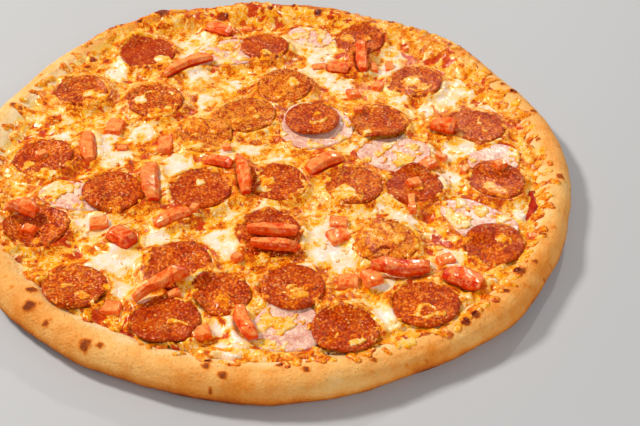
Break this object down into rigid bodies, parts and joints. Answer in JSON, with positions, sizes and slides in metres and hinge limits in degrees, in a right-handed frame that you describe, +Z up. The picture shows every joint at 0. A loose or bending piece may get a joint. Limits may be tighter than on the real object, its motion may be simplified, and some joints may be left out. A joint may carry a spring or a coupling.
{
  "type": "whole pepperoni pizza",
  "caption": "Whole uncut round pizza with a risen crust, tomato sauce, melted cheese, pepperoni, ham and tomato, served as food.",
  "frame": {"origin": "centre of the crust's outline, on the plane the pizza rests on", "axes": "+Z up through the toppings, -Y towards the viewer in the picture, +X to the viewer's right"},
  "size_m": [0.3998, 0.4012, 0.0277],
  "materials": {
    "dough": "matt baked crust",
    "sauce": "wet tomato sauce",
    "cheese": "melted, satin",
    "ham": "moist, satin",
    "pepperoni": "oily",
    "tomato": "wet"
  },
  "bodies": {
    "root": {"dough": "dough", "sauce": "sauce", "cheese": "cheese", "ham_01": "ham", "ham_02": "ham", "ham_03": "ham", "ham_04": "ham", "ham_05": "ham", "ham_06": "ham", "ham_07": "ham", "ham_08": "ham", "pepperoni_01": "pepperoni", "pepperoni_02": "pepperoni", "pepperoni_03": "pepperoni", "pepperoni_04": "pepperoni", "pepperoni_05": "pepperoni", "pepperoni_06": "pepperoni", "pepperoni_07": "pepperoni", "pepperoni_08": "pepperoni", "pepperoni_09": "pepperoni", "pepperoni_10": "pepperoni", "pepperoni_11": "pepperoni", "pepperoni_12": "pepperoni", "pepperoni_13": "pepperoni", "pepperoni_14": "pepperoni", "pepperoni_15": "pepperoni", "pepperoni_16": "pepperoni", "pepperoni_17": "pepperoni", "pepperoni_18": "pepperoni", "pepperoni_19": "pepperoni", "pepperoni_20": "pepperoni", "pepperoni_21": "pepperoni", "pepperoni_22": "pepperoni", "pepperoni_23": "pepperoni", "pepperoni_24": "pepperoni", "pepperoni_25": "pepperoni", "pepperoni_26": "pepperoni", "pepperoni_27": "pepperoni", "pepperoni_28": "pepperoni", "pepperoni_29": "pepperoni", "pepperoni_30": "pepperoni", "tomato_01": "tomato", "tomato_02": "tomato", "tomato_03": "tomato", "tomato_04": "tomato", "tomato_05": "tomato", "tomato_06": "tomato", "tomato_07": "tomato", "tomato_08": "tomato", "tomato_09": "tomato", "tomato_10": "tomato", "tomato_11": "tomato", "tomato_12": "tomato", "tomato_13": "tomato", "tomato_14": "tomato", "tomato_15": "tomato", "tomato_16": "tomato", "tomato_17": "tomato", "tomato_18": "tomato", "tomato_19": "tomato"}
  },
  "joints": []
}
